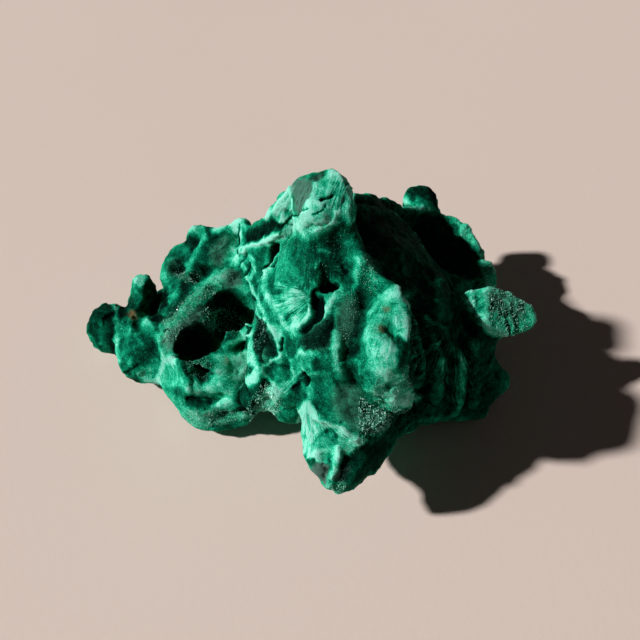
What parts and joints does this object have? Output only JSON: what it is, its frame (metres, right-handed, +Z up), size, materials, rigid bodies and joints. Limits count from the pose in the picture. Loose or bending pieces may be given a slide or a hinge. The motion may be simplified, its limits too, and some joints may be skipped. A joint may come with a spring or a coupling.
{
  "type": "malachite specimen",
  "caption": "Fibrous malachite specimen with a stepped peak, a hollow-walled lobe, ragged ledges and a jutting front point, resting on its broken base.",
  "frame": {"origin": "under the middle of the stone's bounding box, on the surface that it stands on", "axes": "+X along the long side, from the tail knob to the right ear; +Y from the front point to the back; +Z up"},
  "size_m": [0.0722, 0.0528, 0.0394],
  "materials": {
    "malachite": null
  },
  "bodies": {
    "root": {"malachite_specimen": "malachite"}
  },
  "joints": []
}
